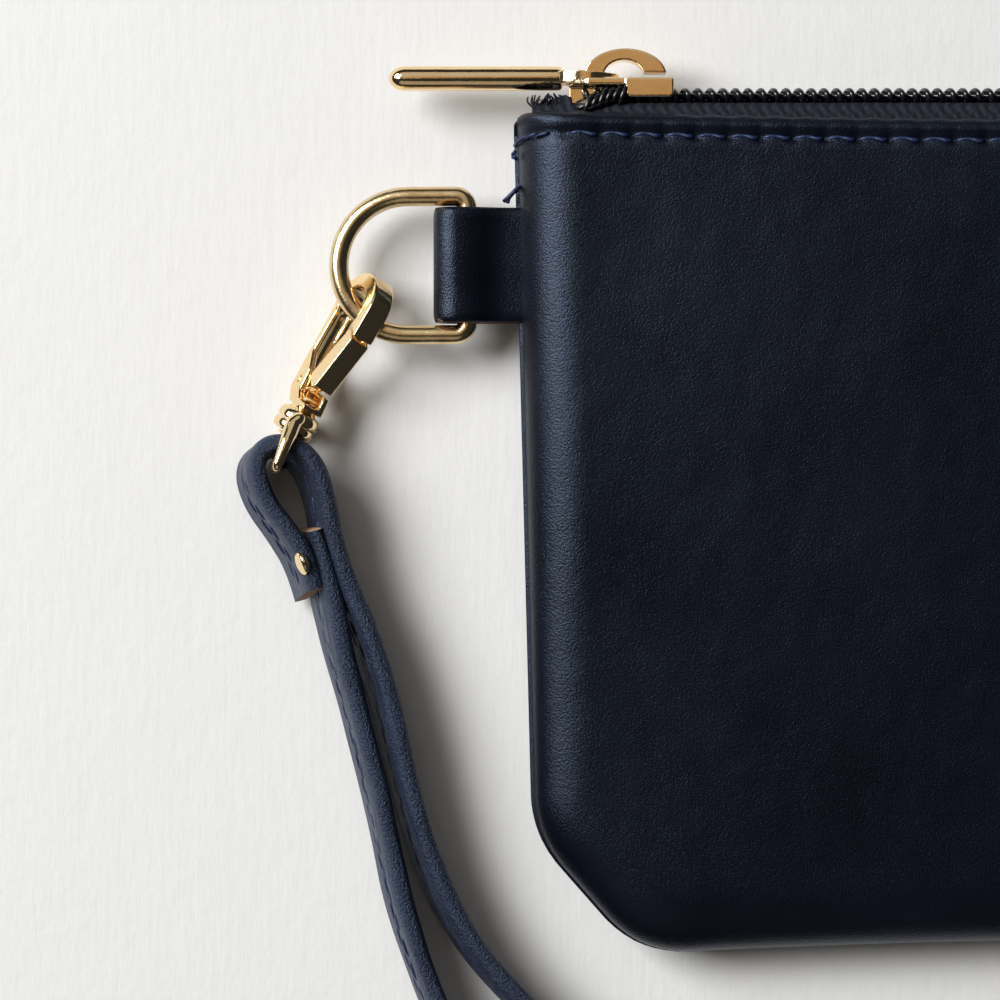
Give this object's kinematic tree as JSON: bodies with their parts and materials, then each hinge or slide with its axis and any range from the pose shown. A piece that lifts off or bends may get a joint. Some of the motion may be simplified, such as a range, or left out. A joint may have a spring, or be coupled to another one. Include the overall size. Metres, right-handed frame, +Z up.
{
  "type": "wristlet wallet",
  "caption": "Slim navy leather zip pouch lying on its back, with a D-ring in its side seam, a swivel snap hook and a narrow wrist strap.",
  "frame": {"origin": "on the flat back face, under the middle of the pouch", "axes": "+X along the zip, +Y out of the zipped mouth, +Z up out of the front panel"},
  "size_m": [0.2264, 0.213, 0.0132],
  "materials": {
    "leather": "matte fine-grained navy leather",
    "thread": "waxed blue thread",
    "zip_tape": "woven navy tape",
    "zip_coil": "black nylon coil",
    "gold_metal": "polished gold plating",
    "satin_gold_metal": "soft satin gold plating",
    "spring_steel": "plain spring steel"
  },
  "bodies": {
    "pouch": {"front_panel": "leather", "back_panel": "leather", "front_hem_thread": "thread", "back_hem_thread": "thread", "side_seam_thread": "thread", "zip_tape_front": "zip_tape", "zip_tape_back": "zip_tape", "zip_coil_front": "zip_coil", "zip_coil_back": "zip_coil", "zip_tack_left": "thread", "zip_tack_right": "thread", "ring_tab": "leather"},
    "slider": {"slider_body": "gold_metal"},
    "puller": {"zip_puller": "gold_metal"},
    "ring": {"d_ring": "satin_gold_metal"},
    "hook": {"hook_body": "gold_metal", "gate_pin": "gold_metal", "gate_spring": "spring_steel", "swivel_post": "gold_metal"},
    "gate": {"hook_gate": "gold_metal"},
    "bail": {"swivel_bail": "gold_metal"},
    "strap": {"wrist_strap": "leather", "strap_thread": "thread", "strap_rivet_cap": "gold_metal", "strap_rivet_post": "gold_metal"}
  },
  "joints": [
    {"name": "slider_travel", "type": "slide", "parent": "pouch", "child": "slider", "axis": [1, 0, 0], "range_m": [0, 0.16]},
    {"name": "puller_hinge", "type": "hinge", "parent": "slider", "child": "puller", "pos_m": [-0.08205, 0.06055, 0.0065], "axis": [0, 0, -1], "range_deg": [0, 115]},
    {"name": "ring_hinge", "type": "hinge", "parent": "pouch", "child": "ring", "pos_m": [-0.1013, 0.0353, 0.0065], "axis": [0, 1, 0], "range_deg": [-80, 95]},
    {"name": "hook_swing", "type": "hinge", "parent": "ring", "child": "hook", "pos_m": [-0.11469, 0.02799, 0.0058], "axis": [0.7975, -0.6018, 0.0418], "range_deg": [-30, 30]},
    {"name": "gate_hinge", "type": "hinge", "parent": "hook", "child": "gate", "pos_m": [-0.12258, 0.01981, 0.00354], "axis": [-0.7226, 0.4257, 0.5446], "range_deg": [0, 15], "stiffness_Nm_per_rad": 0.004, "springref_deg": -17.19},
    {"name": "bail_swivel", "type": "hinge", "parent": "hook", "child": "bail", "pos_m": [-0.124, 0.0145, 0.0058], "axis": [0.5075, 0.8616, 0], "continuous": true},
    {"name": "strap_hinge", "type": "hinge", "parent": "bail", "child": "strap", "pos_m": [-0.1271, 0.0089, 0.0058], "axis": [0, 0, 1], "range_deg": [-40, 8]}
  ]
}
